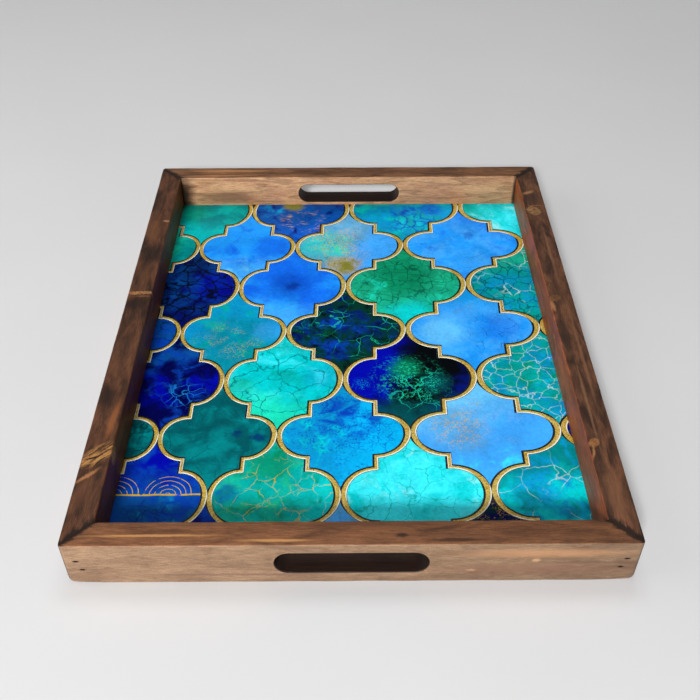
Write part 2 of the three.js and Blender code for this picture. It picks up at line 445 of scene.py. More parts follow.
def pine(name, lengthways, seed, face, top, rings=0.3, marks=(), brads=(), painted_falloff=0.0, smudged=1.0, outer=None):
    """Stained pine. lengthways is 0 where the rail runs along X and 1 along Y. face and top are the paler and
    the darker tone of its upright faces and of its top and foot. rings is how plainly its growth rings show,
    painted_falloff how much painted shade darkens it to the right or the back, smudged how wide the stain is
    at its mitres, and outer the tones of the tray's outer side where they aren't those of face."""
    paint = Paint(name, roughness=0.5, specular=0.15)
    place = paint.place()
    x, y, z = paint.split(place)
    along, across = (y, x) if lengthways else (x, y)
    grain = paint.join(along, across, z)
    shifted = paint.vector("ADD", grain, (seed * 217, seed * 31, seed * 13))

    # Blotches of stain, on the top and on the upright faces.
    blotch = paint.rise(paint.noise(paint.stretch(shifted, (34, 9, 9)), 1, 5, 0.62, 0.6), 0.3, 0.7)
    _, _, up = paint.split(paint.add("NewGeometry", {}, "Normal"))
    level = paint.rise(paint.math("ABSOLUTE", up), 0.45, 0.9)
    miss_x = paint.math("SUBTRACT", HALF_WIDTH, paint.math("ABSOLUTE", x))
    miss_y = paint.math("SUBTRACT", HALF_LENGTH, paint.math("ABSOLUTE", y))
    face_tone = paint.mix(blotch, rgb(*face[0]), rgb(*face[1]))
    if outer:
        outer_tone = paint.mix(blotch, rgb(*outer[0]), rgb(*outer[1]))
        face_tone = paint.mix(paint.rise(miss_x, RAIL - 1, 1), face_tone, outer_tone)
    top_tone = paint.mix(blotch, rgb(*top[0]), rgb(*top[1]))
    colour = paint.mix(level, face_tone, top_tone)
    # Painted shade: the wood darkens towards the right, or towards the back, in place of the light falling
    # off away from the lamp on the left.
    half = HALF_LENGTH if lengthways else HALF_WIDTH
    colour = paint.toned(colour, paint.math("MULTIPLY_ADD", along, -0.5 / half, 0.5), painted_falloff)

    # Growth rings round a pith below the rail, bent by slow noise, and fine fibres, dashes and pores.
    bend = paint.noise(paint.stretch(shifted, (80, 11, 11)), 1, 3)
    _, off_x, off_z = paint.split(shifted)
    beside_pith = paint.math("SUBTRACT", off_x, seed * 31 + 9)
    above_pith = paint.math("ADD", off_z, 22 - seed * 13)
    far = paint.length(paint.join(0, beside_pith, above_pith))
    turn = paint.math("FRACT", paint.math("DIVIDE", paint.math("MULTIPLY_ADD", bend, 17, far), 3.4))
    late = paint.times(paint.rise(turn, 0.3, 0.9), paint.rise(turn, 1.0, 0.9))
    colour = paint.dimmed(colour, late, rings)
    fibre = paint.noise(paint.stretch(shifted, (8, 0.5, 0.5)), 1, 4, 0.7)
    colour = paint.toned(colour, paint.rise(fibre, 0.25, 0.75), 0.34)
    dash = paint.rise(paint.noise(paint.stretch(shifted, (7, 0.42, 0.55)), 1, 2, 0.5), 0.58, 0.72)
    colour = paint.dimmed(colour, dash, 0.34)
    speck = paint.rise(paint.noise(place, 0.9, 3, 0.6), 0.3, 0.7)
    colour = paint.toned(colour, speck, 0.1)
    for mark in marks:
        colour = marked(paint, colour, grain, *mark)

    # The sanded edges are painted paler, partly as rubbed wear and partly as a painted sheen highlight. The
    # stain is black along the mitres and by the brads, and the slot's inside is near black, partly stain and
    # partly painted shade.
    wear_and_sheen = paint.times(paint.attribute("wear"), paint.rise(paint.noise(place, 11, 4), 0.3, 0.7))
    pale = paint.mix(1.0, colour, rgb(255, 236, 214), "SOFT_LIGHT")
    colour = paint.mix(paint.times(wear_and_sheen, 0.25), colour, paint.toned(pale, 1.0, 0.2))
    mitre = paint.apart(miss_x, miss_y)
    ragged = paint.noise(paint.stretch(grain, (12, 4, 6)), 1, 4, 0.6)
    width = paint.times(paint.math("MULTIPLY_ADD", ragged, 26.0, -8.0), paint.math("MAXIMUM", level, 0.12))
    width = paint.times(paint.math("MAXIMUM", width, 0.5), smudged)
    smudge = paint.times(paint.rise(mitre, width, paint.times(width, 0.3)), 0.88)
    colour = paint.mix(smudge, colour, rgb(26, 22, 21))
    if not lengthways:
        past = paint.math("MAXIMUM", paint.math("SUBTRACT", paint.math("ABSOLUTE", x), SLOT_REACH), 0.0)
        wall = paint.length(paint.join(past, 0.0, paint.math("SUBTRACT", z, SLOT_HEIGHT)))
        # Painted shade: the slot's inside is painted near black, partly the stain and partly the shade of the
        # hollow.
        slot_stain_and_shade = paint.rise(wall, SLOT_RADIUS + 1.0, SLOT_RADIUS + 0.3)
        colour = paint.mix(paint.times(slot_stain_and_shade, 0.94), colour, rgb(24, 17, 16))
    for low, high in brads:
        size = ((high.x - low.x) * 1.3, 3, (high.z - low.z) * 1.3)
        centre = ((low.x + high.x) / 2, low.y, (low.z + high.z) / 2)
        reach = paint.length(paint.local(paint.wobble(place, 1.2, 0.9), centre, size))
        colour = paint.mix(paint.times(paint.rise(reach, 1.0, 0.5), 0.85), colour, rgb(40, 30, 28))

    gloss = paint.math("MULTIPLY_ADD", fibre, 0.2, 0.4)
    relief = paint.math("ADD", paint.times(fibre, 0.6), paint.times(late, 0.4))
    return paint.finish(colour, gloss, relief, 0.14)


def marked(paint, colour, grain, at, size, tone, share=0.8, ragged=1.0, turn=0.0, line=None):
    """A mark on the wood: a knot, a streak, a stain, a dark line or a painted shadow. at is (along, across,
    height), size its half-sizes, turn its turn seen from above, and line the tone of the lines that run along
    it."""
    bent = paint.wobble(paint.wobble(grain, 7, 2.5 * ragged), 1.6, 1.6 * ragged)
    spot = paint.local(bent, at, size, turn)
    inner = rgb(*tone)
    if line:
        stripe = paint.rise(paint.noise(paint.stretch(spot, (0.9, 0.16, 0.5)), 1, 3, 0.6), 0.42, 0.62)
        inner = paint.mix(stripe, inner, rgb(*line))
    near = paint.rise(paint.length(spot), 1.2, 0.7 if line else 0.3)
    return paint.mix(paint.times(near, share), colour, inner)


def hardboard(name):
    """The base board: brown pressed fibre with the fine mesh of its rough side."""
    paint = Paint(name, roughness=0.8, specular=0.25)
    place = paint.place()
    x, y, _ = paint.split(place)
    mesh = paint.times(paint.math("SINE", paint.times(x, 4.2)), paint.math("SINE", paint.times(y, 4.2)))
    fibres = paint.noise(paint.stretch(place, (1.4, 1.4, 1.4)), 1, 4, 0.7)
    clouds = paint.noise(place, 60, 4)
    colour = paint.mix(paint.rise(clouds, 0.3, 0.7), rgb(150, 112, 76), rgb(126, 90, 60))
    colour = paint.mix(paint.times(paint.rise(fibres, 0.5, 0.75), 0.5), colour, rgb(92, 64, 42))
    colour = paint.mix(paint.rise(mesh, 0.2, 1.0), colour, rgb(104, 74, 48))
    return paint.finish(colour, None, paint.math("ADD", mesh, fibres), 0.12)


def panel_core_paint(name):
    """The panel's core: pale primed fibreboard."""
    paint = Paint(name, roughness=0.6)
    speck = paint.noise(paint.place(), 1.2, 4, 0.7)
    return paint.finish(paint.mix(speck, rgb(205, 196, 180), rgb(170, 158, 140)), None, speck, 0.05)


def brad_steel(name):
    """Brad wire, dull and browned by the stain."""
    paint = Paint(name, roughness=0.45, metallic=1.0)
    rust = paint.rise(paint.noise(paint.place(), 0.8, 4, 0.6), 0.4, 0.65)
    colour = paint.mix(rust, rgb(120, 116, 112), rgb(72, 52, 40))
    return paint.finish(colour, paint.math("MULTIPLY_ADD", rust, 0.3, 0.4), rust, 0.02)


# ---- The print's lattice ----

HALF_TILE = 49  # half a tile's width and height before the lattice is laid on the panel
HALF_RISE = 60
BAND = 3.1  # the gilt line's usual width
SWELL = 0.2  # how far it swells at the nodes and shrinks between them
NODE_GAP = 1.95  # from a node to the middle of each line that passes it
# The heights of lobe, upright and lobe, down to an even row and down to an odd row.
FALLS = ((23.7, 12, 24.3), (26, 14.3, 19.7))
ROWS = range(-2, 9)
LINES = range(-1, 7)  # the columns whose right-hand line is on the panel


def on_panel(column, row):
    """Where a point of the lattice lies on the panel. The drawing is a little uneven, as if by hand: columns
    widen to the right and lean to the left towards the front, and rows narrow towards the front."""
    across = -134 + 40.9 * column + 1.25 * column**2 + 0.027 * column**3
    x = across - 1.52 * row - 0.18 * column * row + 0.135 * row**2
    y = 198.7 - 62.8 * row + 0.4 * row**2 + 0.41 * column + 0.11 * column**2 - 0.02 * column * row
    return x, y


def lobes(fall):
    """Half of a tile's side, from one node down to the next, as (across, down) points: a lobe, an upright,
    and a lobe."""
    width = HALF_TILE / 2 - NODE_GAP
    angles = quarter_turn(14)
    first, upright, second = fall
    upper = [(NODE_GAP + width * (1 - math.cos(a)), first * math.sin(a)) for a in angles]
    base = first + upright
    lower = [(HALF_TILE / 2 + width * math.sin(a), base + second * (1 - math.cos(a))) for a in angles]
    return upper + lower


def string_path(column):
    """The line down the right-hand sides of one column of tiles, as points about the column's middle."""
    path = []
    for row in ROWS:
        if (row - column) % 2 == 0:
            outward, inward = lobes(FALLS[row % 2])[:-1], lobes(FALLS[(row + 1) % 2])[:-1]
            path += [(across, (1 - row) * HALF_RISE - down) for across, down in outward]
            path += [(HALF_TILE - across, -row * HALF_RISE - down) for across, down in inward]
    return path


def normals(path, index):
    """The right-hand normals of the stretches before and after a point of a path that runs downwards."""
    found = []
    for a, b in ((index - 1, index), (index, index + 1)):
        a, b = max(a, 0), min(b, len(path) - 1)
        if a == b:
            continue
        run = Vector((path[b][0] - path[a][0], path[b][1] - path[a][1])).normalized()
        found.append(Vector((-run.y, run.x)))
    return found[0], found[-1]


def moved(point, pair, distances):
    """A path's point moved so that it's at the two distances from its two stretches, to their right."""
    first, second = pair
    turn = first.x * second.y - first.y * second.x
    if abs(turn) < 0.3:
        middle = (first + second).normalized()
        offset = middle * (distances[0] + distances[1]) / 2
    else:
        offset = Vector(
            (
                (distances[0] * second.y - distances[1] * first.y) / turn,
                (distances[1] * first.x - distances[0] * second.x) / turn,
            )
        )
    return point[0] + offset.x, point[1] + offset.y


def laid(column, point):
    """A path's point, in millimetres before the lattice is laid, on the panel."""
    return on_panel(column + point[0] / HALF_TILE, -point[1] / HALF_RISE)


def shade(normal):
    """The widths of the white glint and the black line drawn on the side of a band that faces that way: the
    band is drawn as if it were lit from the lower right."""
    away = 0.87 * normal.y - 0.5 * normal.x
    glint = 0.8 * min(max((-away - 0.25) / 0.2, 0), 1)
    black = 0.4 + 1.05 * min(max((away + 0.12) / 0.4, 0), 1)
    return glint, black


def gilt_string(column):
    """One gilt line with its glint and its black edges, as a low ridge from the panel's back to its front.
    beyond is how far a point is outside the band, and glint the width of the white drawn within its edge."""
    path = string_path(column)
    ridge = ((1, 0.05), (0.6, 0.16), (0, 0.2))
    rings, beyond, glints = [], [], []
    for index, point in enumerate(path):
        pair = normals(path, index)
        half = BAND / 2 * (1 + SWELL * math.cos(2 * math.pi * point[1] / HALF_RISE))
        ring = []
        for side in (-1, 1):
            edges = [shade(normal * side) for normal in pair]
            rims = [half + black for _, black in edges]
            places = [(rims, 0.0), (rims, 0.035)]
            places += [([half * share] * 2, height) for share, height in ridge[: 3 if side < 0 else 2]]
            if side > 0:
                places.reverse()
            for distances, height in places:
                x, y = laid(column, moved(point, pair, [side * value for value in distances]))
                ring.append((x, y, PANEL_TOP + 0.004 + height))
                beyond.append(sum(distances) / 2 - half)
                glints.append((edges[0][0] + edges[1][0]) / 2)
        rings.append(ring)
    return mesh_object(f"gilt_line_{column + 3}", *loft(rings), {"beyond": beyond, "glint": glints})


def tile_outline(column, row):
    """A tile's outline on the panel, up to just short of the middles of the lines round it."""
    inset = 0.1
    outline = []
    for string, side in ((column, -1), (column - 1, 1)):
        path = string_path(string)
        start, end = -(row - 1) * HALF_RISE, -(row + 1) * HALF_RISE
        stretch = []
        for index, point in enumerate(path):
            if end - 0.01 <= point[1] <= start + 0.01:
                spot = moved(point, normals(path, index), (side * inset, side * inset))
                stretch.append(laid(string, (spot[0], min(max(spot[1], end + inset), start - inset))))
        outline += stretch if side < 0 else stretch[::-1]
    return outline


def clipped(outline, half_x, half_y):
    """The part of an outline that's inside a rectangle about the origin."""
    for axis, sign, limit in ((0, 1, half_x), (0, -1, half_x), (1, 1, half_y), (1, -1, half_y)):
        kept = []
        for a, b in zip(outline, outline[1:] + outline[:1]):
            room_a, room_b = limit - sign * a[axis], limit - sign * b[axis]
            if room_a >= 0:
                kept.append(a)
            if room_a * room_b < 0:
                share = room_a / (room_a - room_b)
                kept.append(tuple(p + (q - p) * share for p, q in zip(a, b)))
        outline = kept
        if not outline:
            break
    return outline


def tile(column, row, half_x, half_y):
    """One tile of the print, as a thin inlay, or None where it's off the panel."""
    outline = clipped(tile_outline(column, row), half_x, half_y)
    if len(outline) < 3:
        return None
    rings = [[(x, y, z) for x, y in outline] for z in (PANEL_TOP - TILE_THICKNESS, PANEL_TOP)]
    return mesh_object(f"tile_{row + 1}_{column + 1}", *loft(rings))


# ---- The print's inks ----

INKS = {
    "black": rgb(2, 5, 9),
    "ink": rgb(0, 2, 72),
    "navy": rgb(2, 20, 112),
    "ultramarine": rgb(0, 6, 165),
    "denim": rgb(6, 78, 158),
    "cobalt": rgb(4, 66, 182),
    "royal": rgb(16, 106, 236),
    "azure": rgb(30, 156, 255),
    "cornflower": rgb(62, 168, 255),
    "sky": rgb(104, 200, 255),
    "steel": rgb(90, 160, 205),
    "cerulean": rgb(6, 152, 212),
    "lagoon": rgb(2, 184, 248),
    "deep teal": rgb(0, 88, 96),
    "teal": rgb(0, 132, 136),
    "sea": rgb(0, 170, 162),
    "turquoise": rgb(0, 210, 216),
    "aqua": rgb(56, 238, 252),
    "pale aqua": rgb(150, 248, 252),
    "mint": rgb(26, 222, 184),
    "jade": rgb(26, 184, 140),
    "emerald": rgb(2, 138, 94),
    "bottle": rgb(0, 54, 40),
    "gold": rgb(208, 166, 6),
    "olive": rgb(128, 126, 10),
    "silver": rgb(180, 214, 214),
}


def held(paint, local, share, near):
    """A share kept to a soft-edged patch, near being (x, y, radius) from the tile's middle."""
    if near is None:
        return share
    reach = paint.length(paint.local(local, (near[0], near[1], 0), (near[2], near[2], 1000)))
    return paint.times(share, paint.rise(reach, 1.25, 0.45))


def clouds(ink, size=26, cover=0.5, near=None):
    """Watercolour clouds over about the given part of the tile."""

    def layer(paint, local, sample):
        middle = 0.5 + (0.5 - cover) * 0.5
        value = paint.noise(sample, size, 5, 0.55, 0.7)
        return held(paint, local, paint.rise(value, middle - 0.12, middle + 0.12), near), INKS[ink]

    return layer


def wash(ink, toward, start=-30, end=30, strength=1.0):
    """A change to the ink along a direction from the tile's middle, uneven like watercolour."""

    def layer(paint, local, sample):
        x, y, _ = paint.split(local)
        length = math.hypot(*toward)
        across = paint.times(x, toward[0] / length)
        across = paint.math("MULTIPLY_ADD", y, toward[1] / length, across)
        across = paint.math("MULTIPLY_ADD", paint.noise(sample, 16, 5, 0.55, 0.5), 44.0, across)
        return paint.times(paint.rise(across, start + 22, end + 22), strength), INKS[ink]

    return layer


def blot(ink, near, strength=1.0, soft=0.5, ragged=12.0):
    """A patch at (x, y, radius) with an uneven, soft edge."""

    def layer(paint, local, sample):
        x, y, radius = near
        bent = paint.wobble(paint.wobble(local, 14, ragged), 3.5, ragged * 0.5)
        reach = paint.length(paint.local(bent, (x, y, 0), (radius, radius, 1000)))
        return paint.times(paint.rise(reach, 1 + soft, 1 - soft), strength), INKS[ink]

    return layer


def cracks(ink, size=13, width=0.35, strength=0.6, cover=0.6, near=None):
    """Thin broken lines round cells."""

    def layer(paint, local, sample):
        bent = paint.wobble(paint.wobble(sample, size * 0.7, size * 0.5), size * 0.2, size * 0.12)
        line = paint.rise(paint.cells(bent, size), width / size, width * 0.3 / size)
        middle = 0.5 + (0.5 - cover) * 0.5
        broken = paint.rise(paint.noise(sample, size * 1.3, 3), middle - 0.1, middle + 0.06)
        share = paint.times(paint.times(line, broken), strength)
        return held(paint, local, share, near), INKS[ink]

    return layer


def pebbles(ink, size=10, strength=0.6):
    """Pebble-like cells, some darker than others, with soft dark edges."""

    def layer(paint, local, sample):
        bent = paint.wobble(sample, size * 0.8, size * 0.4)
        tone, _, _ = paint.split(paint.cells(bent, size, "F1", "Color"))
        edge = paint.rise(paint.cells(bent, size), 0.12, 0.0)
        return paint.times(paint.math("MAXIMUM", tone, edge), strength), INKS[ink]

    return layer


def flecks(ink="gold", size=1.6, cover=0.25, patch=18, strength=0.9, near=None, length=1.0):
    """Small broken specks in drifts."""

    def layer(paint, local, sample):
        fine = paint.noise(paint.stretch(sample, (length, 1, 1)), size, 4, 0.65)
        speck = paint.rise(fine, 0.52, 0.565)
        middle = 0.5 + (0.5 - cover) * 0.45
        drift = paint.rise(paint.noise(sample, patch, 3, 0.6, 0.5), middle - 0.06, middle + 0.1)
        share = paint.times(paint.times(speck, drift), strength)
        return held(paint, local, share, near), INKS[ink]

    return layer


def arches(ink, centres, level):
    """Nested arches standing on a line that runs across the tile."""
    radius, gap, width = 19, 3.6, 0.6

    def layer(paint, local, sample):
        bent = paint.wobble(local, 20, 2.5)
        _, y, _ = paint.split(bent)
        share = 0.0
        for centre in centres:
            reach = paint.length(paint.local(bent, (centre, level, 0), (1, 1, 1000)))
            off = paint.apart(paint.math("FRACT", paint.math("DIVIDE", reach, gap)), 0.5)
            line = paint.rise(off, width / gap / 2, width / gap / 4)
            share = paint.math("MAXIMUM", share, paint.times(line, paint.math("LESS_THAN", reach, radius)))
        share = paint.times(share, paint.math("GREATER_THAN", y, level))
        ground = paint.apart(y, level)
        share = paint.math("MAXIMUM", share, paint.rise(ground, 0.9, 0.5))
        return paint.times(share, paint.rise(paint.noise(sample, 5, 4, 0.6), 0.38, 0.46)), INKS[ink]

    return layer


# Each tile's first ink and the layers painted over it, by column and row, in millimetres from its middle.
TILES = {
    (1, -1): ("deep teal", clouds("black", 10)),
    (3, -1): ("deep teal", clouds("navy", 10)),
    (5, -1): ("black", clouds("bottle", 10)),
    (0, 0): (
        "teal", clouds("sea", 22, 0.5), wash("turquoise", (-0.2, -1), 10, 50, 0.6),
        blot("emerald", (-20, 0, 20), 0.5),
    ),
    (2, 0): (
        "denim", wash("royal", (0.2, -1), 8, 60, 0.7), clouds("navy", 14, 0.3),
        clouds("cerulean", 12, 0.3, near=(-24, 4, 18)),
        flecks("gold", 1.5, 0.42, 10, 0.8, length=4.0, near=(4, -22, 24)), blot("olive", (-6, 9, 9), 0.9),
    ),
    (4, 0): (
        "cerulean", wash("deep teal", (-0.5, 1), -14, 30, 0.7), clouds("cobalt", 12, 0.45, near=(8, 4, 30)),
        blot("cobalt", (22, 4, 13), 0.6, 0.7), clouds("sea", 18, 0.4),
        clouds("turquoise", 18, 0.4, near=(6, -30, 26)),
        cracks("cobalt", 9, 0.8, 0.8, 0.6, near=(10, -26, 26)),
    ),
    (6, 0): (
        "aqua", clouds("turquoise", 26, 0.5), wash("sea", (-1, 1), 0, 40), clouds("pale aqua", 16, 0.25),
    ),
    (-1, 1): (
        "sea", clouds("mint", 22, 0.5), wash("teal", (1, -0.4), 10, 40), wash("mint", (-0.3, 1), 10, 40),
    ),
    (1, 1): (
        "azure", clouds("royal", 26, 0.35), blot("royal", (24, 0, 18), 0.8),
        wash("cornflower", (0, -1), 8, 40), clouds("sky", 14, 0.3, near=(0, -36, 24)),
        cracks("cobalt", 20, 0.3, 0.3, 0.4),
    ),
    (3, 1): (
        "steel", wash("cornflower", (1, -0.4), -4, 24), blot("turquoise", (-24, 2, 22), 0.7),
        clouds("mint", 16, 0.3, near=(-20, 0, 26)), blot("sky", (0, 34, 14), 0.4),
        flecks("gold", 1.5, 0.6, 14, 0.85, near=(-16, 18, 30)),
        flecks("gold", 1.5, 0.6, 12, 0.85, near=(-6, -12, 26)), blot("gold", (-4, -31, 14), 0.6, 0.5, 20),
        flecks("olive", 1.8, 0.7, 8, 0.8, near=(-4, -32, 18)), blot("olive", (-2, -31, 9), 0.9, 0.5, 20),
        cracks("deep teal", 9, 0.3, 0.4, 0.4),
    ),
    (5, 1): (
        "azure", clouds("cornflower", 26, 0.5), clouds("royal", 24, 0.2),
        wash("royal", (0.6, 1), 8, 60, 0.6), blot("cobalt", (8, 14, 5), 0.5),
        cracks("sky", 26, 0.35, 0.5, 0.4), cracks("cobalt", 22, 0.35, 0.4, 0.4),
    ),
    (7, 1): ("navy", clouds("ink", 12)),
    (0, 2): (
        "denim", clouds("navy", 14, 0.4), blot("ultramarine", (24, 2, 22), 0.8),
        blot("black", (-2, 34, 16), 0.5), wash("navy", (0, -1), 0, 50), pebbles("ink", 12, 0.5),
        cracks("black", 12, 0.9, 0.9, 0.65),
    ),
    (2, 2): (
        "azure", clouds("royal", 26, 0.5), blot("royal", (0, 14, 32), 0.8, 0.5, 16),
        blot("cobalt", (2, 4, 15), 0.7, 0.8, 14), blot("navy", (1, 1, 5), 0.6, 0.8, 14),
        wash("cornflower", (-0.1, -1), 12, 50), cracks("cobalt", 20, 0.3, 0.35, 0.45),
    ),
    (4, 2): (
        "jade", blot("emerald", (-2, 10, 26), 0.9), wash("emerald", (-0.2, 1), 8, 50, 0.8),
        wash("mint", (0.3, -1), 4, 50), clouds("mint", 12, 0.4, near=(-26, -6, 20)),
        pebbles("bottle", 10, 0.3), cracks("bottle", 10, 0.6, 0.6, 0.6),
        blot("turquoise", (4, -46, 20), 0.8),
    ),
    (6, 2): (
        "cerulean", clouds("sea", 18, 0.5), wash("jade", (-0.1, 1), 10, 40), pebbles("teal", 11, 0.6),
        cracks("deep teal", 11, 0.6, 0.8, 0.75), cracks("silver", 18, 0.45, 0.8, 0.35),
    ),
    (-1, 3): ("cobalt", clouds("denim", 18, 0.5), cracks("black", 10, 0.8, 0.6, 0.5)),
    (1, 3): (
        "cerulean", blot("teal", (4, -4, 26), 0.6), clouds("sea", 18, 0.3),
        blot("cornflower", (30, 0, 12), 0.5), wash("teal", (0, -1), -10, 40, 0.7),
        flecks("gold", 1.5, 0.45, 16, 0.4, near=(0, -14, 30)), cracks("deep teal", 24, 0.3, 0.4, 0.4),
    ),
    (3, 3): (
        "bottle", clouds("navy", 16, 0.4), clouds("cobalt", 14, 0.4, near=(-10, -8, 30)),
        clouds("cobalt", 10, 0.3, near=(26, -6, 20)), clouds("black", 12, 0.3),
        cracks("jade", 22, 0.36, 0.75, 0.5), cracks("mint", 34, 0.36, 0.7, 0.4, near=(14, -10, 34)),
        flecks("emerald", 1.4, 0.4, 10, 0.7, near=(-28, -4, 16)),
    ),
    (5, 3): (
        "azure", clouds("cornflower", 24, 0.5), blot("sky", (-24, -4, 18), 0.8),
        blot("royal", (24, 0, 16), 0.5), wash("cerulean", (0.1, 1), 16, 50, 0.5),
        flecks("olive", 1.8, 0.5, 9, 0.5, near=(-6, 30, 14)),
        cracks("navy", 11, 0.35, 0.6, 0.5, near=(20, -6, 28)),
    ),
    (7, 3): ("emerald", clouds("bottle", 10)),
    (0, 4): (
        "ultramarine", wash("denim", (-0.2, 1), 4, 34), clouds("ink", 22, 0.5),
        wash("ink", (0, -1), 10, 40), clouds("cobalt", 16, 0.3), cracks("ink", 18, 0.8, 0.7, 0.5),
        cracks("azure", 8, 0.3, 0.65, 0.75, near=(12, -14, 16)),
    ),
    (2, 4): (
        "turquoise", clouds("sea", 24, 0.35), clouds("aqua", 22, 0.3), wash("mint", (-0.5, -1), 4, 40),
        blot("cerulean", (30, 4, 14), 0.35), cracks("teal", 22, 0.45, 0.85, 0.7),
        cracks("deep teal", 13, 0.25, 0.4, 0.3),
    ),
    (4, 4): (
        "black", wash("ultramarine", (-1, 0.3), 0, 22), blot("black", (3, 32, 13), 0.85),
        wash("navy", (0.8, -0.6), 22, 50), blot("emerald", (-2, 12, 10), 0.7, 0.7),
        blot("deep teal", (20, -6, 10), 0.6, 0.7), flecks("jade", 2.4, 0.55, 10, 0.9, near=(0, 0, 27)),
        flecks("mint", 1.3, 0.4, 12, 0.7, near=(6, -10, 26)),
        flecks("cerulean", 1.2, 0.5, 10, 0.7, near=(-36, -10, 10)),
        cracks("mint", 34, 0.35, 0.7, 0.6, near=(10, -16, 28)), wash("deep teal", (0, -1), 14, 50, 0.8),
    ),
    (6, 4): (
        "sea", clouds("cerulean", 16, 0.5), clouds("emerald", 12, 0.35, near=(-14, 4, 30)),
        clouds("turquoise", 12, 0.35, near=(16, -4, 30)), pebbles("teal", 11, 0.45),
        cracks("silver", 12, 0.3, 0.75, 0.75),
    ),
    (-1, 5): ("deep teal", clouds("teal", 14, 0.5), cracks("black", 10, 0.6, 0.6, 0.5)),
    (1, 5): (
        "teal", clouds("deep teal", 24, 0.6), wash("teal", (0, -1), 16, 50), blot("navy", (15, 3, 4), 0.6),
        blot("navy", (30, -2, 4), 0.6), cracks("deep teal", 20, 0.5, 0.8, 0.6),
    ),
    (3, 5): (
        "cerulean", wash("lagoon", (1, -0.2), -10, 20), clouds("cobalt", 14, 0.45, near=(6, 24, 34)),
        clouds("turquoise", 9, 0.3, near=(-20, -4, 26)),
        flecks("cobalt", 1.8, 0.6, 12, 0.7, near=(-4, 10, 46)),
        flecks("cobalt", 2.4, 0.5, 10, 0.6, near=(0, -40, 22)),
        cracks("cobalt", 9, 0.35, 0.6, 0.6, near=(22, 0, 26)),
    ),
    (5, 5): (
        "cornflower", wash("sky", (-0.4, 1), 0, 40), blot("steel", (-18, 2, 22), 0.6),
        clouds("aqua", 18, 0.25, near=(4, -34, 24)), flecks("gold", 1.6, 0.62, 8, 0.75, near=(-18, 4, 22)),
        flecks("gold", 1.3, 0.4, 16, 0.5, near=(6, 14, 30)),
    ),
    (7, 5): ("navy", clouds("deep teal", 9, 0.3)),
    (0, 6): (
        "denim", wash("ultramarine", (0, 1), 0, 30), clouds("cobalt", 16, 0.4),
        clouds("cerulean", 12, 0.3, near=(14, -20, 24)), arches("gold", (-22, 14), 3),
        cracks("navy", 14, 0.5, 0.6, 0.5, near=(4, -20, 26)),
    ),
    (2, 6): (
        "sea", clouds("jade", 18, 0.4), wash("turquoise", (1, -0.2), 4, 40, 0.7),
        blot("emerald", (-4, 30, 14), 0.7), blot("denim", (-32, 4, 8), 0.8), clouds("emerald", 14, 0.3),
        cracks("gold", 20, 0.24, 0.8, 0.5), cracks("gold", 13, 0.2, 0.6, 0.35),
    ),
    (4, 6): (
        "aqua", clouds("turquoise", 22, 0.4), clouds("pale aqua", 18, 0.15),
        cracks("sea", 15, 0.35, 0.7, 0.6),
    ),
    (6, 6): (
        "turquoise", wash("teal", (-0.2, 1), 0, 24), blot("cerulean", (-26, 0, 16), 0.7),
        clouds("cerulean", 16, 0.4), clouds("teal", 20, 0.35), blot("pale aqua", (27, 4, 5), 0.6, 0.3),
        cracks("silver", 24, 0.35, 0.7, 0.5),
    ),
    (-1, 7): ("teal", clouds("deep teal", 14, 0.5)),
    (1, 7): ("navy", clouds("cobalt", 18, 0.5)),
    (3, 7): ("steel", clouds("cornflower", 20, 0.5), cracks("cobalt", 12, 0.3, 0.4, 0.5)),
    (5, 7): ("ink", clouds("bottle", 10, 0.4), flecks("gold", 1.4, 0.5, 9, 0.6)),
    (7, 7): ("teal", clouds("cerulean", 14, 0.5)),
}


def inked(name, centre, seed, first, layers):
    """A tile's printed and varnished surface."""
    paint = Paint(name, specular=0.06)
    place = paint.place()
    local = paint.vector("SUBTRACT", place, (*centre, PANEL_TOP))
    colour = INKS[first]
    for index, layer in enumerate(layers):
        start = (seed * 211.0 + index * 37.0, seed * 97.0 - index * 53.0, 0)
        sample = paint.vector("ADD", local, start)
        share, ink = layer(paint, local, sample)
        colour = paint.mix(share, colour, ink)
    colour = paint.toned(colour, paint.rise(paint.noise(place, 2.2, 5, 0.7), 0.25, 0.75), 0.14)
    colour = paint.toned(colour, paint.rise(paint.noise(place, 26, 4, 0.6), 0.3, 0.7), 0.12)
    slow = paint.noise(place, 9, 3)
    return paint.finish(colour, paint.math("MULTIPLY_ADD", slow, 0.1, 0.24), slow, 0.02)


def gilt(name):
    """A gilt line with its hammered ridge, white glint and black edge."""
    paint = Paint(name, specular=0.4)
    place = paint.place()
    beyond, glint = paint.attribute("beyond"), paint.attribute("glint")
    inside = paint.math("LESS_THAN", beyond, 0.0)
    ridge = paint.math("LESS_THAN", paint.math("ADD", beyond, glint), 0.0)
    hammer = paint.cells(paint.wobble(place, 0.7, 0.5), 0.8, "F1")
    grain = paint.noise(place, 0.9, 4, 0.7)
    slow = paint.noise(place, 9, 3)
    gold = paint.mix(paint.rise(grain, 0.36, 0.6), rgb(150, 119, 38), rgb(224, 201, 104))
    gold = paint.mix(paint.rise(slow, 0.35, 0.65), gold, paint.mix(1.0, gold, rgb(250, 234, 176), "MULTIPLY"))
    gold = paint.mix(paint.rise(hammer, 0.3, 0.05), gold, rgb(236, 226, 164))
    colour = paint.mix(inside, rgb(6, 7, 8), rgb(240, 240, 228))
    colour = paint.mix(ridge, colour, gold)
    paint.feed(paint.shader.inputs["Metallic"], paint.times(ridge, 0.2))
    return paint.finish(colour, paint.math("MULTIPLY_ADD", grain, 0.2, 0.3), hammer, 0.1)


# ---- The tray ----


def wear(piece, material, slot, *nodes):
    """Gives a finished piece its material and its place in the frame."""
    piece.data.materials.clear()
    piece.data.materials.append(material)
    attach(piece, "root")
    if nodes:
        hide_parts(*nodes)


def repaint(node, material):
    """A CAD node shown as it is, with a better material."""
    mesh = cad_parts[node].data
    mesh.materials.clear()
    mesh.materials.append(material)


